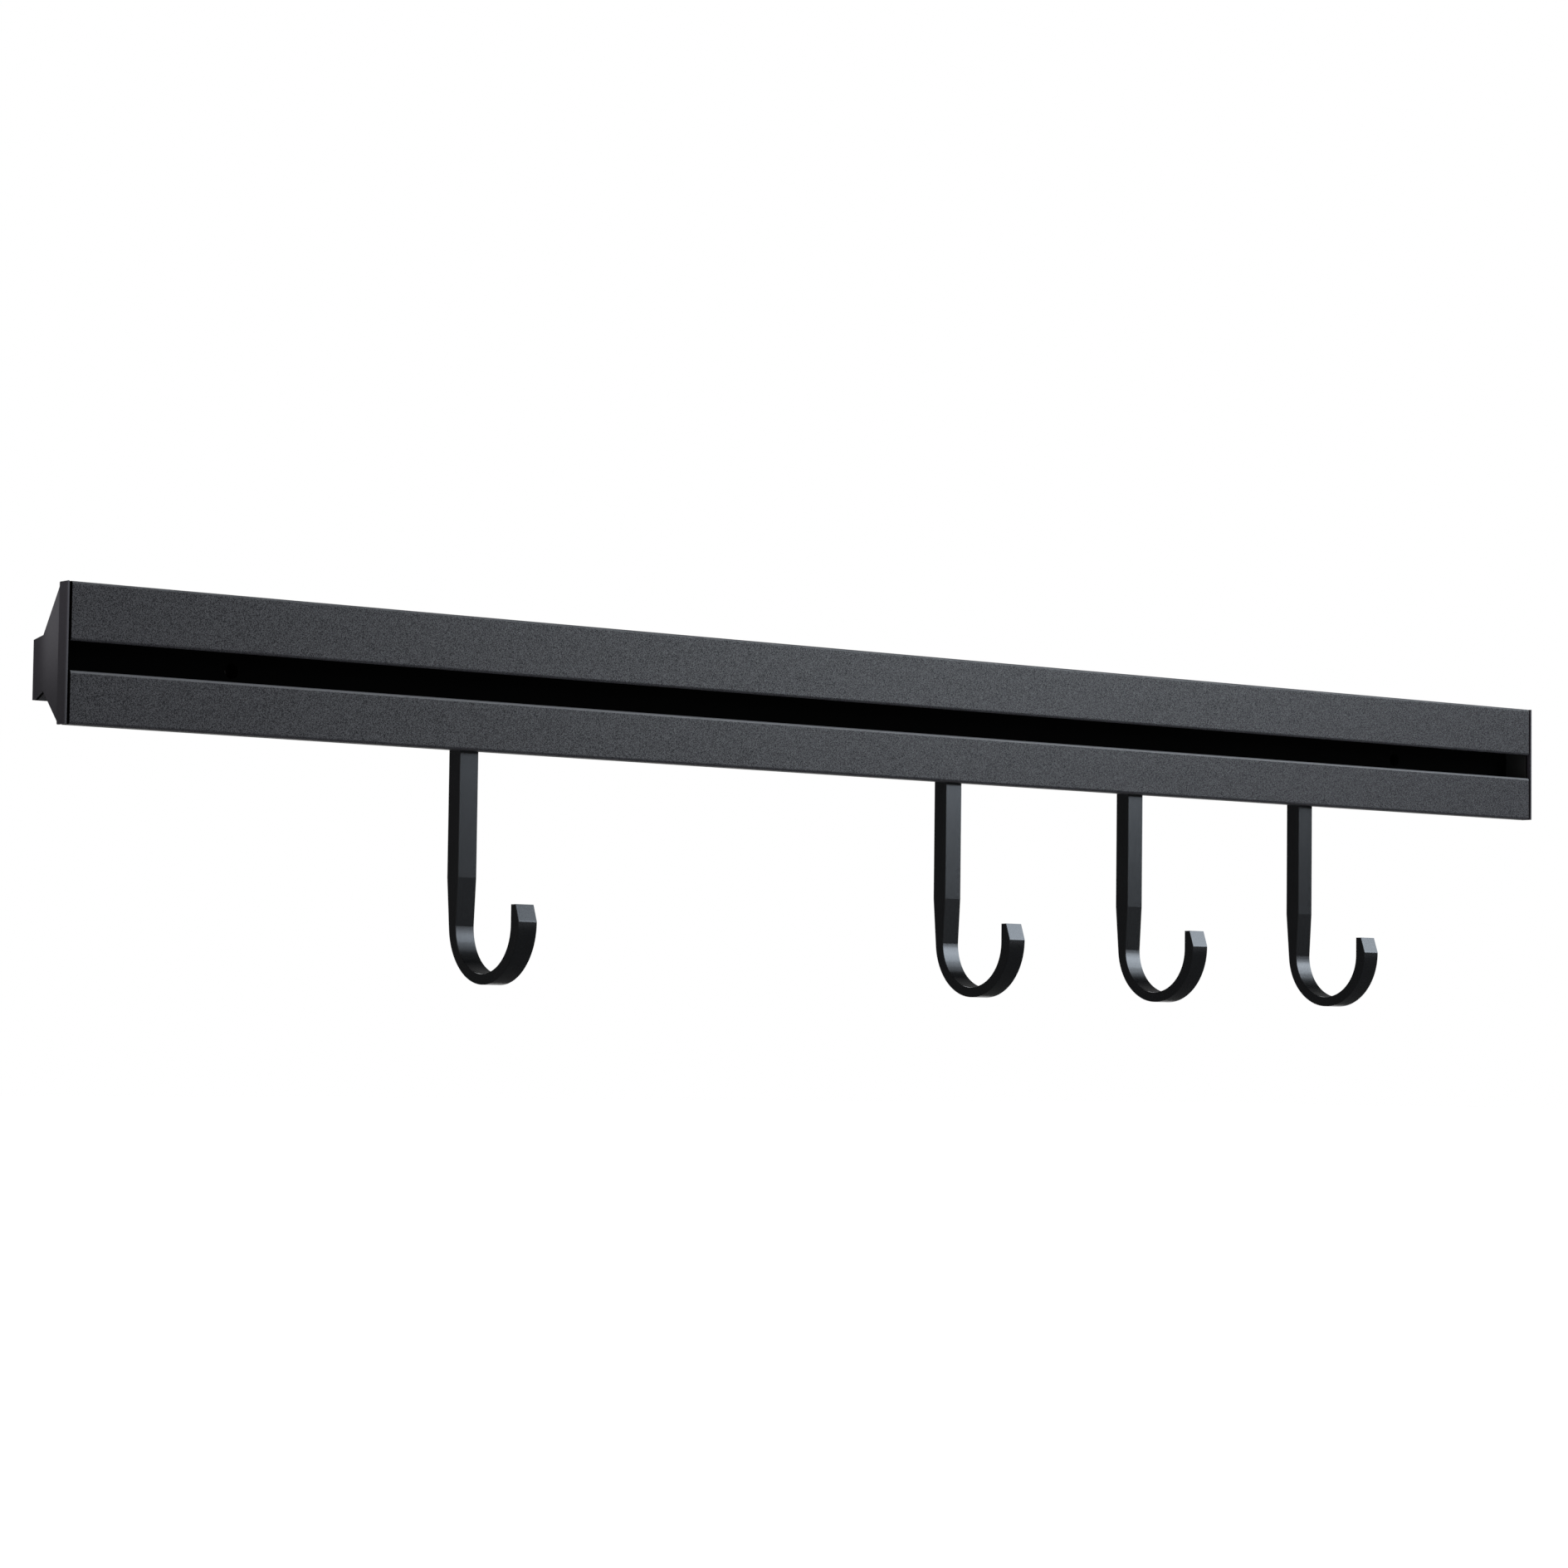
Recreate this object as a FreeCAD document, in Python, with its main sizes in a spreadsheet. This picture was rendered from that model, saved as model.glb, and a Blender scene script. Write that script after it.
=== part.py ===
import FreeCAD, Part
import math
import os
import re
import Sketcher

# A wall rail for kitchen utensils: one slotted extrusion, two push-in end caps and four hooks
# that slide in a channel under it. Millimetres. X runs along the rail, -Y points away from the
# wall and +Z is up. The origin lies on the wall, midway between the two wall screws, which sit
# at the middle of the front slot's height.

SIZES = (
    ("rail_length", 600.0, "overall length, over both end caps"),
    ("upper_face", 16.65, "front face above the slot"),
    ("slot_height", 8.3, "front slot"),
    ("lower_face", 15.05, "front face below the slot"),
    ("band_depth", 4.3, "depth of the front band, and of the bar under it"),
    ("front_wall", 2.3, "thickness of the front face"),
    ("rail_wall", 2.0, "thickness of the top, the slanted wall and the foot's walls"),
    ("web", 2.0, "floor of the slot, above the hooks' channel"),
    ("bar_height", 5.0, "height of the bar that the hooks hang on"),
    ("waist_wall", 2.0, "upright wall behind the slot and the hooks' channel"),
    ("waist_shoulder", 2.25, "height of the waist above the slot"),
    ("waist_heel", 2.8, "height of the waist below the web"),
    ("foot_depth", 5.5, "depth of the foot, from the waist to the wall"),
    ("foot_fall", 1.0, "fall of the foot's top towards the wall"),
    ("foot_flare", 2.65, "fall of the foot's underside towards the wall"),
    ("front_round", 0.8, "rounding of the long front edges"),
    ("screw_spacing", 480.0, "distance between the two wall screws"),
    ("screw_hole", 4.5, "diameter of the wall screw holes"),
    ("cap_rim", 0.75, "thickness of the cap's rim"),
    ("shadow_gap", 0.9, "width of the dark gap between the rim and the extrusion"),
    ("shadow_depth", 1.5, "depth of that gap"),
    ("cap_recess", 0.5, "depth of the sloping recess in the cap's side"),
    ("cap_round", 0.3, "rounding of the cap's front edges"),
    ("peg_length", 8.0, "length of the cap's pegs"),
    ("peg_height", 6.0, "height of the upper peg"),
    ("peg_step", 0.8, "height of the upper peg above the upright wall"),
    ("peg_fit", 0.15, "clearance of the pegs in the extrusion"),
    ("runner_gap", 0.4, "clearance of a hook in its channel"),
    ("stem_depth", 5.9, "depth of a hook's stem, front to back"),
    ("hook_width", 6.6, "width of a hook"),
    ("stem_drop", 37.5, "straight stem below the rail"),
    ("taper_length", 14.5, "length over which the stem narrows"),
    ("taper_inset", 0.9, "how far the stem's front steps back over that length"),
    ("hook_radius", 14.25, "inner radius of the bend"),
    ("bend_thickness", 3.25, "thickness at the bottom of the bend"),
    ("bend_spread", 0.45, "how much thicker the bend is at its sides"),
    ("tip_spread", 0.4, "how much thicker still it is at its tip"),
    ("tip_height", 5.9, "height of the tip above the bend's centre"),
    ("tip_flat", 2.3, "flat on top of the tip"),
    ("tip_chamfer", 5.0, "height of the slope on the tip's front"),
    ("tip_round", 1.2, "rounding where that slope meets the bend"),
    ("hook_bevel", 0.15, "bevel of a hook's long edges"),
    ("hook_place_1", -161.2, "place of the first hook along the rail"),
    ("hook_place_2", 28.6, "place of the second hook"),
    ("hook_place_3", 108.9, "place of the third hook"),
    ("hook_place_4", 189.3, "place of the fourth hook"),
)
HOOK_COUNT = 4
SAME_PLACE = 1e-5

# Levels above the screw line and depths behind the front face, from the sizes above.
SLOT_TOP = "slot_height / 2"
SLOT_FLOOR = "(-slot_height / 2)"
RAIL_TOP = "(slot_height / 2 + upper_face)"
RAIL_BOTTOM = "(-slot_height / 2 - lower_face)"
WEB_BOTTOM = "(-slot_height / 2 - web)"
LEDGE = f"({RAIL_BOTTOM} + bar_height)"
WAIST_TOP = "(slot_height / 2 + waist_shoulder)"
WAIST_BOTTOM = f"({WEB_BOTTOM} - waist_heel)"
FOOT_TOP = f"({WAIST_TOP} - foot_fall)"
FOOT_BOTTOM = f"({WAIST_BOTTOM} - foot_flare)"
STEM_FRONT = "(band_depth + runner_gap)"
STEM_BACK = f"({STEM_FRONT} + stem_depth)"
CHANNEL_BACK = f"({STEM_BACK} + runner_gap)"
WAIST_DEPTH = f"({CHANNEL_BACK} + waist_wall)"
RAIL_DEPTH = f"({WAIST_DEPTH} + foot_depth)"
SLANT_RUN = f"({WAIST_DEPTH} - band_depth)"
UPPER_RISE = f"({RAIL_TOP} - {WAIST_TOP})"
LOWER_RISE = f"({WAIST_BOTTOM} - {RAIL_BOTTOM})"
CAP_DEPTH = "(cap_rim + shadow_gap)"
FOOT_BACK = f"({RAIL_DEPTH} - rail_wall)"

doc = FreeCAD.newDocument("utensil_rail")
sheet = doc.addObject("Spreadsheet::Sheet", "Sizes")
for row, (alias, size, meaning) in enumerate(SIZES, start=1):
    sheet.set(f"A{row}", meaning)
    sheet.set(f"B{row}", str(size))
    sheet.setAlias(f"B{row}", alias)
doc.recompute()
ALIASES = {alias for alias, _, _ in SIZES}


def bound(formula):
    """The formula with each size named as a cell of the sheet."""
    def as_cell(word):
        return f"Sizes.{word[0]}" if word[0] in ALIASES else word[0]

    return re.sub(r"[a-z]\w*", as_cell, formula)


def amount(formula):
    """The formula's value now, in millimetres."""
    return float(sheet.evalExpression(bound(formula)))


def behind_front(depth):
    """Y of a depth behind the rail's front face."""
    return f"({depth}) - {RAIL_DEPTH}"


def slant_offset(rise, inset):
    """How far forward a slanted wall's line moves for an inset square to the wall."""
    return f"(({inset}) * sqrt({SLANT_RUN} ^ 2 + {rise} ^ 2) / {rise})"


def upper_slant(level, inset):
    """Depth of the upper slanted wall's line at a level, moved inwards by the inset."""
    drop = f"({RAIL_TOP} - ({level}))"
    return f"band_depth + {drop} * {SLANT_RUN} / {UPPER_RISE} - {slant_offset(UPPER_RISE, inset)}"


def lower_slant(level, inset):
    """The same for the lower slanted side."""
    climb = f"(({level}) - {RAIL_BOTTOM})"
    return f"band_depth + {climb} * {SLANT_RUN} / {LOWER_RISE} - {slant_offset(LOWER_RISE, inset)}"


# Where the slanted wall's inner face meets the upright wall behind the slot.
ROOF_LEVEL = (
    f"({RAIL_TOP} - ({CHANNEL_BACK} - band_depth + {slant_offset(UPPER_RISE, 'rail_wall')})"
    f" * {UPPER_RISE} / {SLANT_RUN})"
)


def new_body(name):
    """An empty body labelled with its node's name."""
    body = doc.addObject("PartDesign::Body", name)
    body.Label = name
    return body


def new_sketch(body, name, plane):
    """A sketch on one of the body's own origin planes."""
    sketch = body.newObject("Sketcher::SketchObject", name)
    support = [feature for feature in body.Origin.OriginFeatures if feature.Role == plane][0]
    sketch.AttachmentSupport = [(support, "")]
    sketch.MapMode = "FlatFace"
    return sketch


def bind_constraint(sketch, name, constraint, formula):
    """Add a dimension and tie it to the sheet."""
    index = sketch.addConstraint(constraint)
    sketch.renameConstraint(index, name)
    sketch.setExpression(f"Constraints.{name}", bound(formula))


def draw_outline(sketch, corners, arcs=None, smooth=()):
    """Closed outline through the corners, given as pairs of formulas.

    arcs maps a side's number to (centre x, centre y, radius, counter-clockwise). A corner at an
    arc is held by its second formula and by the arc, and its first formula only starts it off.
    At the corners in smooth, a line runs tangent into an arc and the formulas only start it off.
    """
    arcs = arcs or {}
    count = len(corners)
    places = [FreeCAD.Vector(amount(first), amount(second), 0) for first, second in corners]
    up = FreeCAD.Vector(0, 0, 1)
    ends = {}
    for side in range(count):
        start = places[side]
        end = places[(side + 1) % count]
        ends[side] = (1, 2)
        if side in arcs:
            centre_x, centre_y, radius, counter_clockwise = arcs[side]
            centre = FreeCAD.Vector(amount(centre_x), amount(centre_y), 0)
            if not counter_clockwise:
                start, end = end, start
                ends[side] = (2, 1)
            angles = [math.atan2(place.y - centre.y, place.x - centre.x) for place in (start, end)]
            sketch.addGeometry(Part.ArcOfCircle(Part.Circle(centre, up, amount(radius)), *angles), False)
        else:
            sketch.addGeometry(Part.LineSegment(start, end), False)
    for side in range(count):
        following = (side + 1) % count
        join = "Tangent" if following in smooth else "Coincident"
        last, first = ends[side][1], ends[following][0]
        sketch.addConstraint(Sketcher.Constraint(join, side, last, following, first))
    for side, (centre_x, centre_y, radius, _) in arcs.items():
        reach_x = Sketcher.Constraint("DistanceX", side, 3, amount(centre_x))
        reach_y = Sketcher.Constraint("DistanceY", side, 3, amount(centre_y))
        reach_out = Sketcher.Constraint("Radius", side, amount(radius))
        bind_constraint(sketch, f"centre{side}_x", reach_x, centre_x)
        bind_constraint(sketch, f"centre{side}_y", reach_y, centre_y)
        bind_constraint(sketch, f"radius{side}", reach_out, radius)
    for side, (first, second) in enumerate(corners):
        if side in smooth:
            continue
        point = ends[side][0]
        on_arc = side in arcs or (side - 1) % count in arcs
        if not on_arc:
            reach_x = Sketcher.Constraint("DistanceX", side, point, amount(first))
            bind_constraint(sketch, f"corner{side}_x", reach_x, first)
        reach_y = Sketcher.Constraint("DistanceY", side, point, amount(second))
        bind_constraint(sketch, f"corner{side}_y", reach_y, second)


def pad(body, name, sketch, length, side_type="One side", backwards=False):
    """Extrude a sketch along its normal."""
    feature = body.newObject("PartDesign::Pad", name)
    feature.Profile = sketch
    feature.SideType = side_type
    feature.Reversed = backwards
    feature.setExpression("Length", bound(length))
    doc.recompute()
    return feature


def pocket_through(body, name, sketch):
    """Cut a sketch through the whole body both ways, and make sure that it took something away."""
    before = body.Shape.Volume
    feature = body.newObject("PartDesign::Pocket", name)
    feature.Profile = sketch
    feature.Type = "ThroughAll"
    feature.SideType = "Symmetric"
    doc.recompute()
    if not body.Shape.Volume < before:
        raise RuntimeError(f"{name} cuts nothing")


def edges_at(shape, points):
    """Names of the shape's edges that pass through the points."""
    names = []
    for point in points:
        vertex = Part.Vertex(*point)
        found = [
            f"Edge{number}"
            for number, edge in enumerate(shape.Edges, start=1)
            if edge.distToShape(vertex)[0] < SAME_PLACE
        ]
        if len(found) != 1:
            raise RuntimeError(f"{len(found)} edges at {point}")
        names.append(found[0])
    return names


def lies_at_x(edge, x):
    """Whether the whole edge lies in the plane at x."""
    return max(abs(edge.BoundBox.XMin - x), abs(edge.BoundBox.XMax - x)) < SAME_PLACE


def soften_edges(body, name, kind, base, edge_names, size):
    """Fillet or chamfer the named edges of a feature, and make sure that the result is sound."""
    feature = body.newObject(f"PartDesign::{kind}", name)
    feature.Base = (base, edge_names)
    feature.setExpression("Radius" if kind == "Fillet" else "Size", bound(size))
    doc.recompute()
    if not feature.Shape.isValid() or feature.Shape.Volume > base.Shape.Volume:
        raise RuntimeError(f"{name} has no sound shape")
    return feature


def end_outline(inset):
    """Corners of the rail's end, seen along X, with the front band moved inwards by the inset."""
    upper_rim = f"{RAIL_TOP} - ({inset})"
    lower_rim = f"{RAIL_BOTTOM} + ({inset})"
    corners = (
        (inset, upper_rim),
        (upper_slant(upper_rim, "0"), upper_rim),
        (WAIST_DEPTH, WAIST_TOP),
        (RAIL_DEPTH, FOOT_TOP),
        (RAIL_DEPTH, FOOT_BOTTOM),
        (WAIST_DEPTH, WAIST_BOTTOM),
        (lower_slant(lower_rim, "0"), lower_rim),
        (inset, lower_rim),
    )
    return [(behind_front(depth), level) for depth, level in corners]


def make_profile():
    """The extrusion: a slotted front, a chamber behind it, a hollow foot and a channel below."""
    body = new_body("rail_profile")
    chamber_top = f"{RAIL_TOP} - rail_wall"
    channel_edge = f"{WAIST_BOTTOM} - waist_wall * {LOWER_RISE} / {SLANT_RUN}"
    corners = (
        ("0", RAIL_TOP),
        ("band_depth", RAIL_TOP),
        (WAIST_DEPTH, WAIST_TOP),
        (RAIL_DEPTH, FOOT_TOP),
        (RAIL_DEPTH, FOOT_BOTTOM),
        (WAIST_DEPTH, WAIST_BOTTOM),
        (CHANNEL_BACK, channel_edge),
        (CHANNEL_BACK, WEB_BOTTOM),
        ("front_wall", WEB_BOTTOM),
        ("front_wall", LEDGE),
        ("band_depth", LEDGE),
        ("band_depth", RAIL_BOTTOM),
        ("0", RAIL_BOTTOM),
        ("0", SLOT_FLOOR),
        (CHANNEL_BACK, SLOT_FLOOR),
        (CHANNEL_BACK, ROOF_LEVEL),
        (upper_slant(chamber_top, "rail_wall"), chamber_top),
        ("front_wall", chamber_top),
        ("front_wall", SLOT_TOP),
        ("0", SLOT_TOP),
    )
    section = new_sketch(body, "profile_section", "YZ_Plane")
    draw_outline(section, [(behind_front(depth), level) for depth, level in corners])
    extrusion = pad(body, "extrusion", section, f"rail_length - 2 * {CAP_DEPTH}", "Symmetric")

    front = amount(behind_front("0"))
    levels = (RAIL_TOP, SLOT_TOP, SLOT_FLOOR, RAIL_BOTTOM)
    names = edges_at(extrusion.Shape, [(0, front, amount(level)) for level in levels])
    soften_edges(body, "front_rounding", "Fillet", extrusion, names, "front_round")

    foot_hollow = (
        (WAIST_DEPTH, f"{WAIST_TOP} - rail_wall"),
        (FOOT_BACK, f"{FOOT_TOP} - rail_wall"),
        (FOOT_BACK, f"{FOOT_BOTTOM} + rail_wall"),
        (WAIST_DEPTH, f"{WAIST_BOTTOM} + rail_wall"),
    )
    hollow = new_sketch(body, "foot_hollow", "YZ_Plane")
    draw_outline(hollow, [(behind_front(depth), level) for depth, level in foot_hollow])
    pocket_through(body, "foot_hollow_cut", hollow)

    holes = new_sketch(body, "screw_holes", "XZ_Plane")
    for number, place in enumerate(("-screw_spacing / 2", "screw_spacing / 2")):
        centre = FreeCAD.Vector(amount(place), 0, 0)
        hole = Part.Circle(centre, FreeCAD.Vector(0, 0, 1), amount("screw_hole / 2"))
        circle = holes.addGeometry(hole, False)
        reach_x = Sketcher.Constraint("DistanceX", circle, 3, amount(place))
        width = Sketcher.Constraint("Diameter", circle, amount("screw_hole"))
        holes.addConstraint(Sketcher.Constraint("PointOnObject", circle, 3, -1))
        bind_constraint(holes, f"hole{number}_x", reach_x, place)
        bind_constraint(holes, f"hole{number}_width", width, "screw_hole")
    pocket_through(body, "screw_hole_cut", holes)
    return body


def make_cap(name, side):
    """An end cap, its outer face at its own X = 0 and its pegs reaching inwards. side is -1 or 1."""
    body = new_body(name)
    inwards_is_back = side > 0

    rim = new_sketch(body, f"{name}_rim_outline", "YZ_Plane")
    draw_outline(rim, end_outline("0"))
    plate = pad(body, f"{name}_rim", rim, "cap_rim", backwards=inwards_is_back)

    front = amount(behind_front("0"))
    band_middle = amount(behind_front("band_depth / 2"))
    soft_edges = (
        (0, front, amount(f"({RAIL_TOP} + {RAIL_BOTTOM}) / 2")),
        (0, band_middle, amount(RAIL_TOP)),
        (0, band_middle, amount(RAIL_BOTTOM)),
    )
    names = edges_at(plate.Shape, soft_edges)
    soften_edges(body, f"{name}_rounding", "Fillet", plate, names, "cap_round")

    core = new_sketch(body, f"{name}_core_outline", "YZ_Plane")
    draw_outline(core, end_outline("shadow_depth"))
    pad(body, f"{name}_core", core, CAP_DEPTH, backwards=inwards_is_back)

    peg_reach = f"{CAP_DEPTH} + peg_length"
    upper_front = "front_wall + peg_fit"
    upper_low = f"{ROOF_LEVEL} + peg_step"
    upper_high = f"{upper_low} + peg_height"
    foot_front = f"{WAIST_DEPTH} + peg_fit"
    foot_back = f"{FOOT_BACK} - peg_fit"
    foot_low = f"{WAIST_BOTTOM} + rail_wall + peg_fit"
    foot_high = f"{FOOT_TOP} - rail_wall - peg_fit"
    peg_outlines = {
        "upper_peg": (
            (upper_front, upper_low),
            (upper_front, upper_high),
            (upper_slant(upper_high, "rail_wall + peg_fit"), upper_high),
            (upper_slant(upper_low, "rail_wall + peg_fit"), upper_low),
        ),
        "foot_peg": (
            (foot_front, foot_low),
            (foot_front, foot_high),
            (foot_back, foot_high),
            (foot_back, foot_low),
        ),
    }
    for peg, corners in peg_outlines.items():
        outline = new_sketch(body, f"{name}_{peg}_outline", "YZ_Plane")
        draw_outline(outline, [(behind_front(depth), level) for depth, level in corners])
        pad(body, f"{name}_{peg}", outline, peg_reach, backwards=inwards_is_back)

    # A wedge off the side behind the front band: deepest at the band, and gone at the foot.
    wedge = new_sketch(body, f"{name}_recess_outline", "XY_Plane")
    deepest = f"{-side} * cap_recess"
    band_back = behind_front("band_depth")
    draw_outline(wedge, [("0", band_back), ("0", behind_front(WAIST_DEPTH)), (deepest, band_back)])
    pocket_through(body, f"{name}_recess", wedge)
    body.setExpression("Placement.Base.x", bound(f"{side} * rail_length / 2"))
    return body


def make_hook(number):
    """A hook: a head that hangs on the bar inside the channel, a stem and a bend open to the front."""
    body = new_body(f"hook_{number}")
    head_front = behind_front("front_wall + runner_gap")
    head_top = f"{WEB_BOTTOM} - runner_gap"
    stem_front = behind_front(STEM_FRONT)
    stem_back = behind_front(STEM_BACK)
    taper_level = f"{RAIL_BOTTOM} - stem_drop"
    bend_level = f"{taper_level} - taper_length"
    bend_middle = behind_front(f"{STEM_FRONT} + taper_inset - hook_radius")
    outer_radius = "(hook_radius + bend_thickness + bend_spread + tip_spread / 2)"
    outer_level = f"{bend_level} + bend_spread + tip_spread / 2"
    outer_middle = f"{bend_middle} - tip_spread / 2"
    tip_top = f"{bend_level} + tip_height"
    tip_inside = f"{bend_middle} - hook_radius"
    slope_foot = f"{tip_top} - tip_chamfer"
    slope_reach = f"sqrt({outer_radius} ^ 2 - ({slope_foot} - ({outer_level})) ^ 2)"
    slope_front = f"{outer_middle} - {slope_reach}"
    corners = (
        (head_front, LEDGE),
        (head_front, head_top),
        (stem_back, head_top),
        (stem_back, taper_level),
        (f"{outer_middle} + {outer_radius}", bend_level),
        (slope_front, slope_foot),
        (f"{tip_inside} - tip_flat", tip_top),
        (tip_inside, tip_top),
        (tip_inside, bend_level),
        (f"{bend_middle} + hook_radius", bend_level),
        (stem_front, taper_level),
        (stem_front, LEDGE),
    )
    outer_bend = 4
    inner_bend = 8
    arcs = {
        outer_bend: (outer_middle, outer_level, outer_radius, False),
        inner_bend: (bend_middle, bend_level, "hook_radius", True),
    }
    side_view = new_sketch(body, f"hook_{number}_side_view", "YZ_Plane")
    draw_outline(side_view, corners, arcs, smooth=(outer_bend,))
    blank = pad(body, f"hook_{number}_blank", side_view, "hook_width", "Symmetric")

    slope_edge = edges_at(blank.Shape, [(0, amount(slope_front), amount(slope_foot))])
    softened = soften_edges(body, f"hook_{number}_tip_rounding", "Fillet", blank, slope_edge, "tip_round")

    # Each side face's edges are bevelled, apart from those of the head inside the rail.
    rail_bottom = amount(RAIL_BOTTOM)
    for side_name, face in (("right", "hook_width / 2"), ("left", "-hook_width / 2")):
        face_x = amount(face)
        names = [
            f"Edge{index}"
            for index, edge in enumerate(softened.Shape.Edges, start=1)
            if lies_at_x(edge, face_x) and edge.BoundBox.ZMin < rail_bottom
        ]
        bevel = f"hook_{number}_{side_name}_bevel"
        softened = soften_edges(body, bevel, "Chamfer", softened, names, "hook_bevel")
    body.setExpression("Placement.Base.x", bound(f"hook_place_{number}"))
    return body


bodies = [make_profile(), make_cap("end_cap_left", -1), make_cap("end_cap_right", 1)]
bodies += [make_hook(number) for number in range(1, HOOK_COUNT + 1)]
doc.recompute()

for item in doc.Objects:
    if "Invalid" in item.State or "Error" in item.State:
        raise RuntimeError(f"{item.Label} failed: {item.State}")
for body in bodies:
    if body.Shape.isNull() or not body.Shape.isValid():
        raise RuntimeError(f"{body.Label} has no valid shape")

os.makedirs("parts", exist_ok=True)
for body in bodies:
    body.Shape.exportStep(f"parts/{body.Label}.step")
    print(body.Label, round(body.Shape.Volume), "mm3,", len(body.Shape.Solids), "solid")
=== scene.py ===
import math

import bpy
from mathutils import Matrix, Vector


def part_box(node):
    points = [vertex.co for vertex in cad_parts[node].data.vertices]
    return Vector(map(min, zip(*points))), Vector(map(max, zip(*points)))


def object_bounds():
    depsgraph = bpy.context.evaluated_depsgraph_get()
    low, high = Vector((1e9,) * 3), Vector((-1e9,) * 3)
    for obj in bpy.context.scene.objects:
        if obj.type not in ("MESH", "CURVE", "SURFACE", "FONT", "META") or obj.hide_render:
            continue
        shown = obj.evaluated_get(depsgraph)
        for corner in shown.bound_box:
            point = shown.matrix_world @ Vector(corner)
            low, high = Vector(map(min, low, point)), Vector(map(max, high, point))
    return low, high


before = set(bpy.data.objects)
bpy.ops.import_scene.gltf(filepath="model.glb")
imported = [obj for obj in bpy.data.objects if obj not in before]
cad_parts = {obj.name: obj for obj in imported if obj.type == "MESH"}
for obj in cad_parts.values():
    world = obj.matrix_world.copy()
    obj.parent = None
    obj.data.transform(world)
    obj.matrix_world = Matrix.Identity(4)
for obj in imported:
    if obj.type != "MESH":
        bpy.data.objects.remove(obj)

cad_low, cad_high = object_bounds()
profile_low, profile_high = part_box("rail_profile")
middle = (cad_low + cad_high) / 2

# Lengths in metres, angles in degrees, colours linear.
MM = 0.001
HAIR = 0.1 * MM

# The camera of the photograph, fitted to the rail's edges and ends.
CAMERA_PLACE = Vector((-0.89121, -1.08848, -0.11089))
CAMERA_YAW = 38.3248
CAMERA_PITCH = 3.6742
CAMERA_ROLL = -0.7169
CAMERA_LENS = 100.2
SENSOR_WIDTH = 36.0

# Places on the rail's end section, in the CAD frame. The wall is at Y = 0.
FRONT_FACE = profile_low.y
RAIL_TOP = profile_high.z
RAIL_END = profile_high.x
BAND_DEPTH = 4.3 * MM
FOOT_DEPTH = 5.5 * MM
WALL = 2.0 * MM
FRONT_ROUND = 0.8 * MM
CAP_RIM = 0.75 * MM
SLOT_EDGE = 4.15 * MM
WAIST_TOP = 6.4 * MM
BAND_BACK = FRONT_FACE + BAND_DEPTH
WAIST_BACK = -FOOT_DEPTH
RIM_INSIDE = cad_high.x - CAP_RIM

BLACK = (0.0, 0.0, 0.0)
WHITE = (1.0, 1.0, 1.0)

# The range of plain noise that is stretched to the full range: narrow for crisp patterns.
NARROW_NOISE = (0.36, 0.64)
WIDE_NOISE = (0.3, 0.7)
FINE_DETAIL = 3.0

# Specks fade from their core to their rim, in cells.
SPECK_CORE = 0.2
SPECK_RIM = 0.6

# The powder coat of the rail. Spreads and tints are factors of a colour, and a relief is its depth
# and strength.
COAT_COLOUR = (0.0255, 0.0247, 0.0282)
FLAKE_COLOUR = (0.06, 0.061, 0.066)
# The edge colour is a painted highlight along the two front edges that face upwards.
EDGE_HIGHLIGHT_COLOUR = (0.13, 0.132, 0.14)
# The slot colour is painted shade: black in the chamber behind the slot, the screw holes, the rail's
# cut ends and the bottom of the caps' gap.
PAINTED_SHADE_BLACK = (0.0025, 0.0025, 0.0025)
COAT_GRAIN = 0.2 * MM
COAT_SPREAD = (0.4, 1.6)
COAT_PATCH = 60 * MM
PATCH_TINT = 1.2
PATCH_SHARE = 0.25
COAT_RELIEF = (0.02 * MM, 0.5)
COAT_GLOSS = 0.41
DULLEST = 0.05
COAT_ROUGHNESS = (0.28, 0.42)
FLAKE_CELL = 0.25 * MM
FLAKE_RARITY = 0.4
# Where the painted edge highlight and the painted black shade of the slot lie.
EDGE_DEPTH = 0.5 * MM
LIP_WIDTH = 0.45 * MM
LIP_FADE = 0.5 * MM
TOP_WIDTH = 0.35 * MM
TOP_FADE = 0.4 * MM
TOP_SHARE = 0.7
PAINTED_SHADE_FADE = 0.3 * MM
SLANT_SKIN = 0.8 * MM
SLANT_FADE = 0.6 * MM
BORE_END = 0.5 * MM

# The moulded plastic of the end caps.
CAP_COLOUR = (0.052, 0.0475, 0.058)
# The pale colour of the sunk side panel is painted light.
CAP_PAINTED_LIGHT = (0.140, 0.135, 0.149)
# The inside colour is painted shade on the caps' inside faces.
CAP_INSIDE_SHADE = (0.03, 0.03, 0.03)
CAP_TEXTURE = 0.35 * MM
CAP_SPREAD = (0.85, 1.15)
CAP_FLOW = 15 * MM
FLOW_TINT = 1.3
FLOW_SHARE = 0.3
CAP_RELIEF = (0.02 * MM, 0.4)
CAP_GLOSS = 0.4
CAP_ROUGHNESS = (0.45, 0.6)
# Painted shade: the caps are darker towards the bottom, and the painted light on the side panel fades
# towards the bottom and the foot.
CAP_PAINTED_LOW_SHADE = 0.4
PAINTED_SHADE_TOP = 0.9 * RAIL_TOP
PAINTED_LIGHT_FADE = 3.5 * MM
LOW_PAINTED_LIGHT = 0.1

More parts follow.
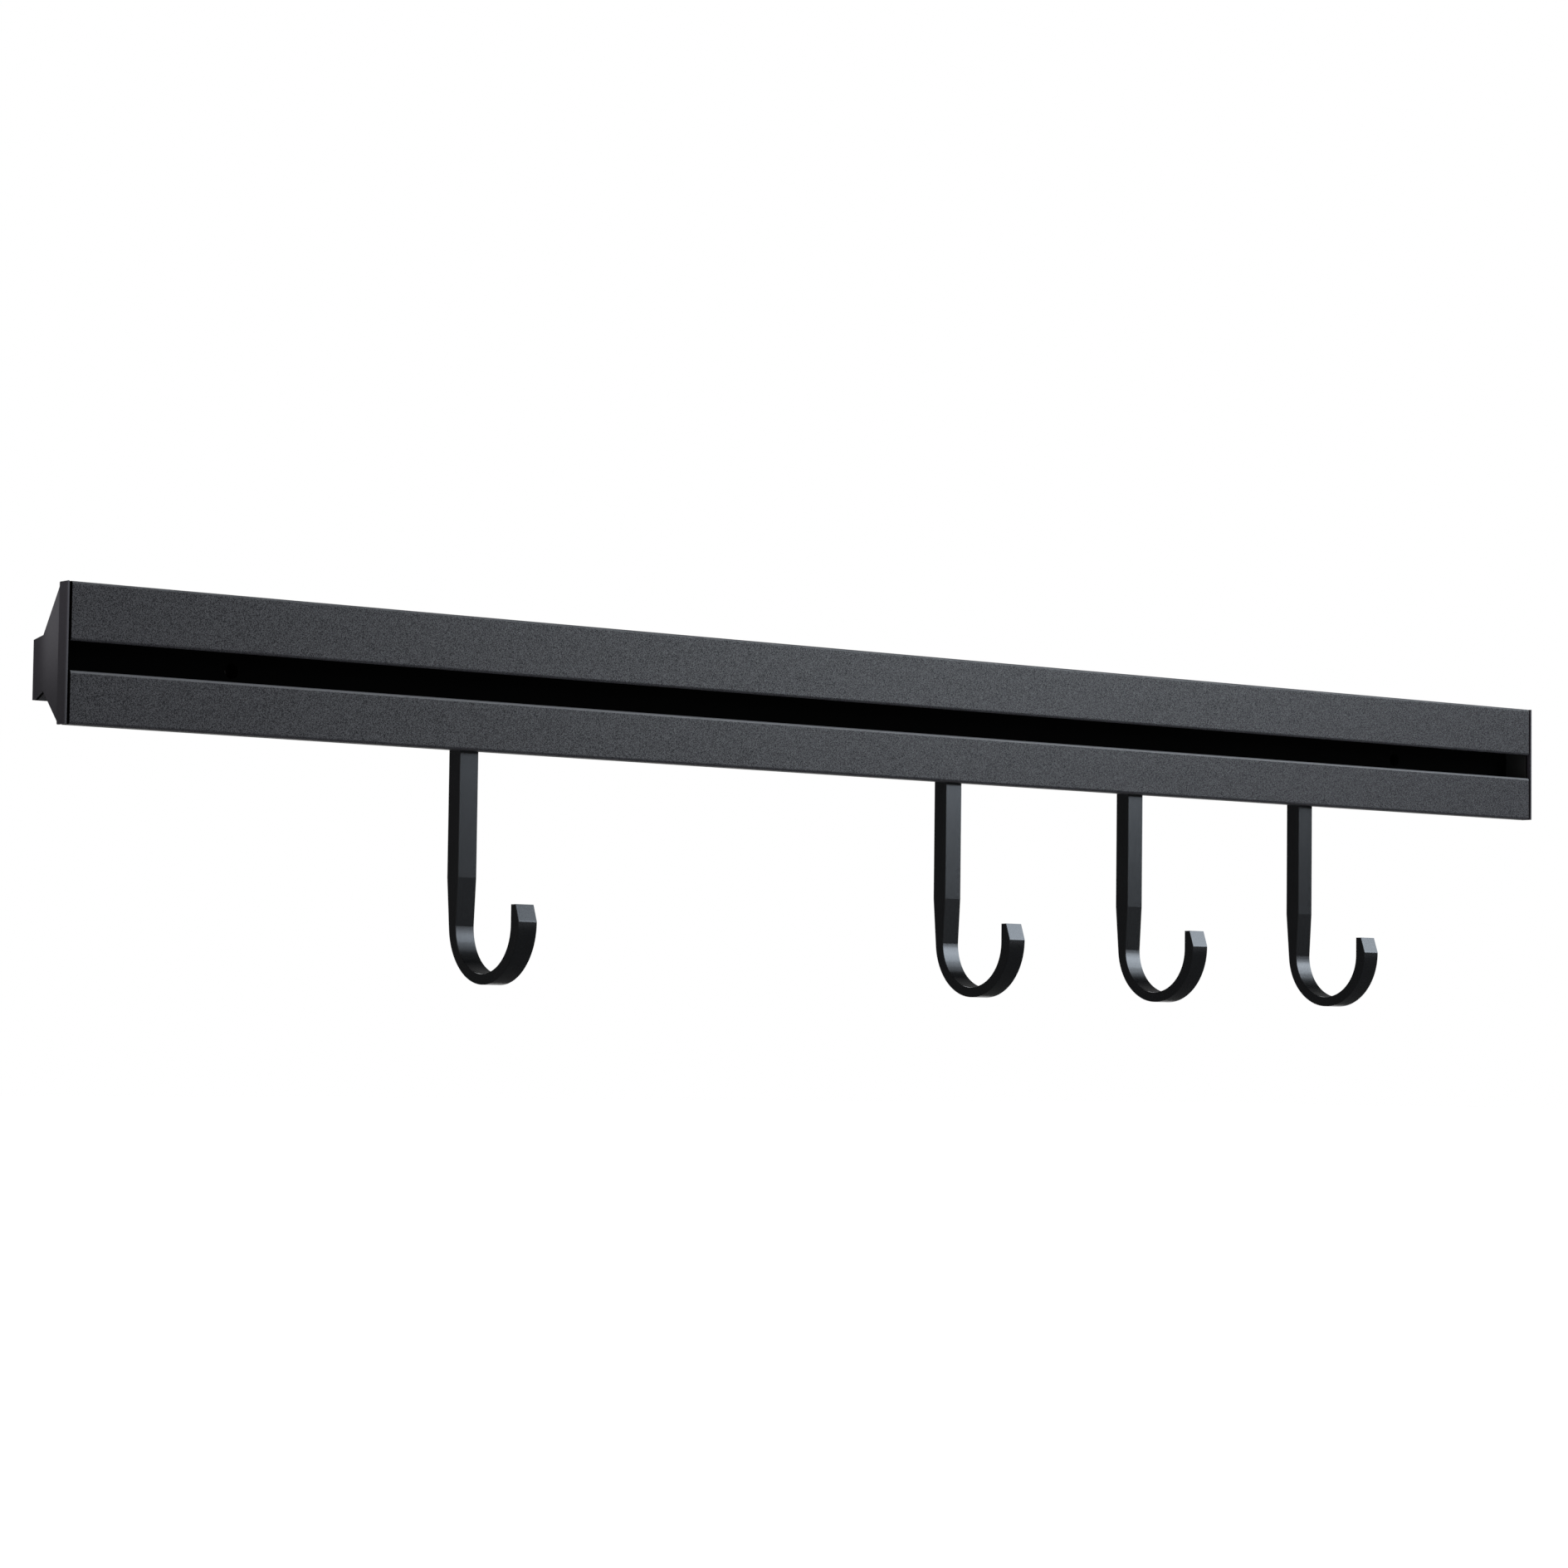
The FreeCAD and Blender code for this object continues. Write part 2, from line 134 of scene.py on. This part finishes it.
# The satin paint of the hooks.
HOOK_COLOUR = (0.0050, 0.0052, 0.0056)
HOOK_SHEEN = (0.90, 0.93, 1.0)
HOOK_GRAIN = 0.25 * MM
HOOK_SPREAD = (0.8, 1.2)
HOOK_CLOUD = 12 * MM
CLOUD_NOISE = (0.35, 0.7)
CLOUD_TINT = 1.5
CLOUD_SHARE = 0.4
HOOK_RELIEF = (0.01 * MM, 0.2)
HOOK_ROUGHNESS = (0.19, 0.25)

# The floor: its glow is what the camera sees of it, beside a share of its lit surface.
FLOOR_LEVEL = -0.25
FLOOR_REACH = 12.0
FLOOR_COLOUR = (0.8, 0.8, 0.8)
FLOOR_ROUGHNESS = 0.9
FLOOR_GLOW = 1.15
FLOOR_GLOW_SHARE = 0.85
AMBIENT = 0.5

# Softboxes: name, azimuth, elevation, width, height, radiance and colour. The key light is a row
# of strips, one above the other, that fades upwards and leans to the right.
SOFTBOX_DISTANCE = 1.6
KEY_COLOUR = (0.85, 0.935, 1.0)
SOFTBOXES = (
    ("key_strip_1", 45.5, 15.0, 0.76, 0.51, 8.4, KEY_COLOUR),
    ("key_strip_2", 48.5, 28.5, 0.76, 0.26, 7.4, KEY_COLOUR),
    ("key_strip_3", 55.0, 37.0, 0.76, 0.24, 3.4, KEY_COLOUR),
    ("key_strip_4", 60.0, 45.0, 0.76, 0.24, 1.4, KEY_COLOUR),
    ("rear_softbox", 174.0, 42.0, 1.0, 0.8, 4.0, WHITE),
)

# Cards that lie level: name, place, width, depth and level of grey.
LEVEL_CARDS = (
    ("ground_card", (0.0, 0.0, FLOOR_LEVEL + MM), 2 * FLOOR_REACH, 2 * FLOOR_REACH, 0.08),
    ("rear_bounce", (1.6, 0.65, FLOOR_LEVEL + 2 * MM), 4.0, 0.6, 0.8),
    ("ceiling_card", (0.6, -0.6, 1.7), 5.0, 5.0, 0.08),
)

# Cards that face the rail: name, azimuth, elevation, distance, width, height, level of grey, and
# whether the card also shades the rail from the softboxes.
FACING_CARDS = (
    ("side_card", -140.0, 10.0, 2.0, 4.0, 3.0, 0.08, False),
    ("front_card", -16.0, 20.0, 1.6, 3.2, 3.0, 0.32, False),
    ("low_card", 44.5, 3.0, 2.5, 3.0, 0.26, 0.12, False),
    ("back_card", 142.0, 24.0, 1.3, 1.1, 1.3, 0.12, False),
    ("flag", 62.0, 2.0, 1.42, 0.6, 0.46, 0.1, True),
)


class Surface:
    """A Principled material and short ways to add the nodes that feed it."""

    def __init__(self, name):
        self.material = bpy.data.materials.new(name)
        self.material.use_nodes = True
        self.tree = self.material.node_tree
        self.shader = self.tree.nodes["Principled BSDF"]
        self.place = self.node("ShaderNodeTexCoord").outputs["Object"]
        split = self.node("ShaderNodeSeparateXYZ")
        self.feed(split.inputs[0], self.place)
        self.x, self.y, self.z = split.outputs

    def node(self, kind, **settings):
        """A new node with its settings."""
        node = self.tree.nodes.new(kind)
        for setting, value in settings.items():
            setattr(node, setting, value)
        return node

    def feed(self, socket, value):
        """Link an output to a socket, or set a plain value on it."""
        if isinstance(value, bpy.types.NodeSocket):
            self.tree.links.new(value, socket)
        else:
            socket.default_value = value

    def set(self, socket_name, value):
        """Link an output to one of the shader's sockets, or set a plain value on it."""
        self.feed(self.shader.inputs[socket_name], (*value, 1.0) if isinstance(value, tuple) else value)

    def show(self, output):
        """Make an output the material's surface."""
        self.feed(self.tree.nodes["Material Output"].inputs["Surface"], output)

    def math(self, operation, first, second=0.0):
        """One step of arithmetic on two values."""
        node = self.node("ShaderNodeMath", operation=operation)
        self.feed(node.inputs[0], first)
        self.feed(node.inputs[1], second)
        return node.outputs[0]

    def times(self, first, second):
        """The product of two values."""
        return self.math("MULTIPLY", first, second)

    def remap(self, value, low, high, to_low, to_high):
        """A value moved smoothly from one range to another."""
        node = self.node("ShaderNodeMapRange", interpolation_type="SMOOTHSTEP")
        for number, entry in enumerate((value, low, high, to_low, to_high)):
            self.feed(node.inputs[number], entry)
        return node.outputs[0]

    def rise(self, value, low, high):
        """0 below the lower limit, 1 above the upper one, and smooth between them."""
        return self.remap(value, low, high, 0.0, 1.0)

    def fall(self, value, low, high):
        """1 below the lower limit, 0 above the upper one, and smooth between them."""
        return self.remap(value, low, high, 1.0, 0.0)

    def between(self, value, low, high, soft):
        """1 where the value lies between two limits, with soft ends outside them."""
        return self.times(self.rise(value, low - soft, low), self.fall(value, high, high + soft))

    def noise(self, grain, detail=2.0):
        """Noise whose features are about as large as the grain."""
        node = self.node("ShaderNodeTexNoise")
        self.feed(node.inputs["Vector"], self.place)
        node.inputs["Scale"].default_value = 1 / grain
        node.inputs["Detail"].default_value = detail
        return node.outputs[0]

    def specks(self, cell, rarity):
        """Small round specks of random strength, one in some of the cells of the given size."""
        node = self.node("ShaderNodeTexVoronoi")
        self.feed(node.inputs["Vector"], self.place)
        node.inputs["Scale"].default_value = 1 / cell
        split = self.node("ShaderNodeSeparateColor")
        self.feed(split.inputs[0], node.outputs["Color"])
        chosen = self.rise(split.outputs[0], rarity, 1.0)
        return self.times(chosen, self.fall(node.outputs["Distance"], SPECK_CORE, SPECK_RIM))

    def mix(self, share, first, second):
        """A blend of two colours."""
        node = self.node("ShaderNodeMix", data_type="RGBA")
        self.feed(node.inputs[0], share)
        for socket, colour in ((node.inputs[6], first), (node.inputs[7], second)):
            self.feed(socket, (*colour, 1.0) if isinstance(colour, tuple) else colour)
        return node.outputs[2]

    def bump(self, height, depth, strength):
        """Surface relief from a height between 0 and 1."""
        node = self.node("ShaderNodeBump")
        node.inputs["Strength"].default_value = strength
        node.inputs["Distance"].default_value = depth
        self.feed(node.inputs["Height"], height)
        self.set("Normal", node.outputs[0])


def tinted(colour, factor):
    """A colour made lighter or darker."""
    return tuple(channel * factor for channel in colour)


def spread(colour, factors):
    """The darkest and the lightest tint of a colour."""
    return [tinted(colour, factor) for factor in factors]


def painted_slot_shade(coat):
    """Where black is painted as shade: 1 in the chamber behind the front slot and in the screw holes,
    and 0 on the outer faces.
    """
    run = WAIST_BACK - BAND_BACK
    drop = RAIL_TOP - WAIST_TOP
    length = math.hypot(run, drop)
    across = coat.times(coat.math("SUBTRACT", coat.y, BAND_BACK), drop / length)
    along = coat.times(coat.math("SUBTRACT", coat.z, RAIL_TOP), run / length)
    above_slant = coat.math("ADD", across, along)
    under_slant = coat.fall(above_slant, -SLANT_SKIN - SLANT_FADE, -SLANT_SKIN)
    deep = coat.between(coat.y, FRONT_FACE + FRONT_ROUND, WAIST_BACK + 2 * HAIR, PAINTED_SHADE_FADE)
    high = coat.between(coat.z, -SLOT_EDGE - HAIR, RAIL_TOP - WALL + HAIR, PAINTED_SHADE_FADE)
    chamber = coat.times(under_slant, coat.times(deep, high))
    bores = coat.between(coat.y, WAIST_BACK, -BORE_END, PAINTED_SHADE_FADE)
    level = coat.between(coat.z, -SLOT_EDGE, SLOT_EDGE, PAINTED_SHADE_FADE)
    return coat.math("MAXIMUM", chamber, coat.times(bores, level))


def painted_edge_highlight(coat):
    """1 along the two front edges that face upwards, where a lighter colour is painted as a highlight.
    """
    lip = coat.between(coat.z, -SLOT_EDGE - LIP_WIDTH, -SLOT_EDGE, LIP_FADE)
    top = coat.between(coat.z, RAIL_TOP - TOP_WIDTH, RAIL_TOP, TOP_FADE)
    front = coat.fall(coat.y, FRONT_FACE + EDGE_DEPTH, FRONT_FACE + FRONT_ROUND)
    return coat.times(front, coat.math("MAXIMUM", lip, coat.times(top, TOP_SHARE)))


def powder_coat():
    """Black powder coat: fine grain, light specks, a faint orange-peel relief, a painted highlight
    along the upward front edges, and painted shade in the slot, the screw holes and the cut ends, which
    are made black and dull.
    """
    coat = Surface("powder_coat")
    grain = coat.noise(COAT_GRAIN)
    sparkle = coat.remap(grain, *NARROW_NOISE, DULLEST, 1.0)
    patches = coat.remap(coat.noise(COAT_PATCH), *WIDE_NOISE, 0.0, PATCH_SHARE)
    base = coat.mix(sparkle, *spread(COAT_COLOUR, COAT_SPREAD))
    base = coat.mix(patches, base, tinted(COAT_COLOUR, PATCH_TINT))
    base = coat.mix(coat.specks(FLAKE_CELL, FLAKE_RARITY), base, FLAKE_COLOUR)
    # Painted highlight along the two front edges that face upwards.
    base = coat.mix(painted_edge_highlight(coat), base, EDGE_HIGHLIGHT_COLOUR)
    # Painted shade: black and dull in the chamber behind the slot, in the screw holes and on the cut
    # ends.
    cut_end = coat.rise(coat.math("ABSOLUTE", coat.x), RAIL_END - HAIR, RAIL_END)
    painted_shade = coat.math("MAXIMUM", painted_slot_shade(coat), cut_end)
    coat.set("Base Color", coat.mix(painted_shade, base, PAINTED_SHADE_BLACK))
    rough = coat.remap(grain, *NARROW_NOISE, *COAT_ROUGHNESS)
    coat.set("Roughness", coat.math("MAXIMUM", rough, painted_shade))
    coat.set("Specular IOR Level", coat.times(sparkle, coat.remap(painted_shade, 0.0, 1.0, COAT_GLOSS, 0.0)))
    coat.bump(grain, *COAT_RELIEF)
    return coat.material


def moulded_plastic():
    """Matt moulded plastic: a fine texture, painted shade towards the bottom, painted light on the sunk
    side panel, and painted shade on the inside faces, black in the gap.
    """
    plastic = Surface("moulded_plastic")
    texture = plastic.noise(CAP_TEXTURE, FINE_DETAIL)
    flow = plastic.remap(plastic.noise(CAP_FLOW), *WIDE_NOISE, 0.0, FLOW_SHARE)
    base = plastic.mix(texture, *spread(CAP_COLOUR, CAP_SPREAD))
    base = plastic.mix(flow, base, tinted(CAP_COLOUR, FLOW_TINT))
    # Painted shade: the caps grow darker towards the bottom.
    shade = plastic.rise(plastic.z, -RAIL_TOP, PAINTED_SHADE_TOP)
    base = plastic.mix(shade, plastic.mix(CAP_PAINTED_LOW_SHADE, base, BLACK), base)
    # Painted light: the sunk side panel behind the band is made paler, most at the top.
    behind_band = plastic.rise(plastic.y, BAND_BACK, BAND_BACK + HAIR)
    before_foot = plastic.fall(plastic.y, WAIST_BACK - PAINTED_LIGHT_FADE, WAIST_BACK + PAINTED_LIGHT_FADE)
    panel = plastic.times(behind_band, before_foot)
    painted_light = plastic.times(panel, plastic.remap(shade, 0.0, 1.0, LOW_PAINTED_LIGHT, 1.0))
    base = plastic.mix(painted_light, base, CAP_PAINTED_LIGHT)
    # Painted shade: darker inside faces, and black at the bottom of the gap.
    outwards = plastic.math("ABSOLUTE", plastic.x)
    inside = plastic.fall(outwards, RIM_INSIDE - HAIR, RIM_INSIDE)
    gap = plastic.rise(outwards, RAIL_END, RAIL_END + HAIR)
    inner_shade_colour = plastic.mix(gap, CAP_INSIDE_SHADE, PAINTED_SHADE_BLACK)
    plastic.set("Base Color", plastic.mix(inside, base, inner_shade_colour))
    rough = plastic.remap(texture, *WIDE_NOISE, *CAP_ROUGHNESS)
    plastic.set("Roughness", plastic.math("MAXIMUM", rough, inside))
    plastic.set("Specular IOR Level", plastic.remap(inside, 0.0, 1.0, CAP_GLOSS, 0.0))
    plastic.bump(texture, *CAP_RELIEF)
    return plastic.material


def satin_paint():
    """Satin black paint over a casting: a very fine grain, faint clouds and a cool sheen."""
    paint = Surface("satin_paint")
    grain = paint.noise(HOOK_GRAIN, FINE_DETAIL)
    clouds = paint.remap(paint.noise(HOOK_CLOUD), *CLOUD_NOISE, 0.0, CLOUD_SHARE)
    base = paint.mix(grain, *spread(HOOK_COLOUR, HOOK_SPREAD))
    paint.set("Base Color", paint.mix(clouds, base, tinted(HOOK_COLOUR, CLOUD_TINT)))
    paint.set("Roughness", paint.remap(grain, *WIDE_NOISE, *HOOK_ROUGHNESS))
    paint.set("Specular Tint", HOOK_SHEEN)
    paint.bump(grain, *HOOK_RELIEF)
    return paint.material


def dress(node, material):
    """Give a node of the frame its finish."""
    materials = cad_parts[node].data.materials
    materials.clear()
    materials.append(material)


def add_object(name, data):
    """Link new data into the scene."""
    item = bpy.data.objects.new(name, data)
    bpy.context.scene.collection.objects.link(item)
    return item


def flat_panel(name, width, height):
    """A rectangle in its own XY plane."""
    mesh = bpy.data.meshes.new(name)
    corners = [(x * width / 2, y * height / 2, 0) for x, y in ((-1, -1), (1, -1), (1, 1), (-1, 1))]
    mesh.from_pydata(corners, [], [(0, 1, 2, 3)])
    return add_object(name, mesh)


def facing(place, target):
    """A placement at a point that looks at a target along its own -Z."""
    turn = (target - place).to_track_quat("-Z", "Y").to_matrix().to_4x4()
    return Matrix.Translation(place) @ turn


def seen_at(azimuth, elevation, distance):
    """A point seen from the rail's middle. Azimuth is to the right of straight in front."""
    turn, lift = math.radians(azimuth), math.radians(elevation)
    direction = Vector((
        math.sin(turn) * math.cos(lift),
        -math.cos(turn) * math.cos(lift),
        math.sin(lift),
    ))
    return middle + direction * distance


def pale_floor():
    """A white floor that keeps a soft shadow."""
    floor = flat_panel("floor", 2 * FLOOR_REACH, 2 * FLOOR_REACH)
    floor.location.z = FLOOR_LEVEL
    surface = Surface("floor_white")
    surface.set("Base Color", FLOOR_COLOUR)
    surface.set("Roughness", FLOOR_ROUGHNESS)
    surface.set("Specular IOR Level", 0.0)
    glow = surface.node("ShaderNodeEmission")
    glow.inputs["Strength"].default_value = FLOOR_GLOW
    rays = surface.node("ShaderNodeLightPath")
    blend = surface.node("ShaderNodeMixShader")
    surface.feed(blend.inputs[0], surface.times(rays.outputs["Is Camera Ray"], FLOOR_GLOW_SHARE))
    surface.feed(blend.inputs[1], surface.shader.outputs[0])
    surface.feed(blend.inputs[2], glow.outputs[0])
    surface.show(blend.outputs[0])
    floor.data.materials.append(surface.material)


def studio_card(name, place, target, width, height, level, shades=False):
    """A studio card that only shows in reflections, and may keep the softboxes' light off."""
    card = flat_panel(name, width, height)
    card.matrix_world = facing(place, target)
    surface = Surface(name)
    glow = surface.node("ShaderNodeEmission")
    glow.inputs["Color"].default_value = (level, level, level, 1.0)
    surface.show(glow.outputs[0])
    card.data.materials.append(surface.material)
    card.visible_camera = False
    card.visible_diffuse = False
    card.visible_shadow = shades


def white_world():
    """White to the camera and in reflections, and an even light on everything else."""
    world = bpy.data.worlds.new("studio")
    world.use_nodes = True
    bpy.context.scene.world = world
    tree = world.node_tree
    rays = tree.nodes.new("ShaderNodeLightPath")
    seen = rays.outputs["Is Camera Ray"]
    for ray in ("Is Glossy Ray", "Is Transmission Ray"):
        either = tree.nodes.new("ShaderNodeMath")
        either.operation = "MAXIMUM"
        tree.links.new(seen, either.inputs[0])
        tree.links.new(rays.outputs[ray], either.inputs[1])
        seen = either.outputs[0]
    level = tree.nodes.new("ShaderNodeMapRange")
    tree.links.new(seen, level.inputs["Value"])
    level.inputs["To Min"].default_value = AMBIENT
    level.inputs["To Max"].default_value = 1.0
    background = tree.nodes["Background"]
    background.inputs["Color"].default_value = (*WHITE, 1.0)
    tree.links.new(level.outputs[0], background.inputs["Strength"])


def softbox(name, place, width, height, radiance, colour):
    """A rectangular light that looks at the rail."""
    light = bpy.data.lights.new(name, "AREA")
    light.color = colour
    light.shape = "RECTANGLE"
    light.size = width
    light.size_y = height
    light.energy = radiance * math.pi * width * height
    add_object(name, light).matrix_world = facing(place, middle)


def photo_camera():
    """The camera at the photograph's place."""
    yaw, pitch, roll = (math.radians(angle) for angle in (CAMERA_YAW, CAMERA_PITCH, CAMERA_ROLL))
    ahead = Vector((
        math.sin(yaw) * math.cos(pitch),
        math.cos(yaw) * math.cos(pitch),
        math.sin(pitch),
    ))
    level_right = Vector((math.cos(yaw), -math.sin(yaw), 0.0))
    level_down = ahead.cross(level_right)
    right = math.cos(roll) * level_right + math.sin(roll) * level_down
    down = math.cos(roll) * level_down - math.sin(roll) * level_right
    turn = Matrix((right, -down, -ahead)).transposed().to_4x4()
    data = bpy.data.cameras.new("photo_camera")
    data.lens = CAMERA_LENS
    data.sensor_width = SENSOR_WIDTH
    camera = add_object("photo_camera", data)
    camera.matrix_world = Matrix.Translation(CAMERA_PLACE) @ turn
    bpy.context.scene.camera = camera


dress("rail_profile", powder_coat())
cap_finish = moulded_plastic()
for cap in ("end_cap_left", "end_cap_right"):
    dress(cap, cap_finish)
hook_finish = satin_paint()
for hook in (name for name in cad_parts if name.startswith("hook_")):
    dress(hook, hook_finish)

pale_floor()
white_world()
for name, azimuth, elevation, width, height, radiance, colour in SOFTBOXES:
    softbox(name, seen_at(azimuth, elevation, SOFTBOX_DISTANCE), width, height, radiance, colour)
for name, place, width, depth, level in LEVEL_CARDS:
    place = Vector(place)
    studio_card(name, place, place + Vector((0.0, 0.0, -1.0)), width, depth, level)
for name, azimuth, elevation, distance, width, height, level, shades in FACING_CARDS:
    studio_card(name, seen_at(azimuth, elevation, distance), middle, width, height, level, shades)
photo_camera()
bpy.context.scene.view_settings.view_transform = "Standard"
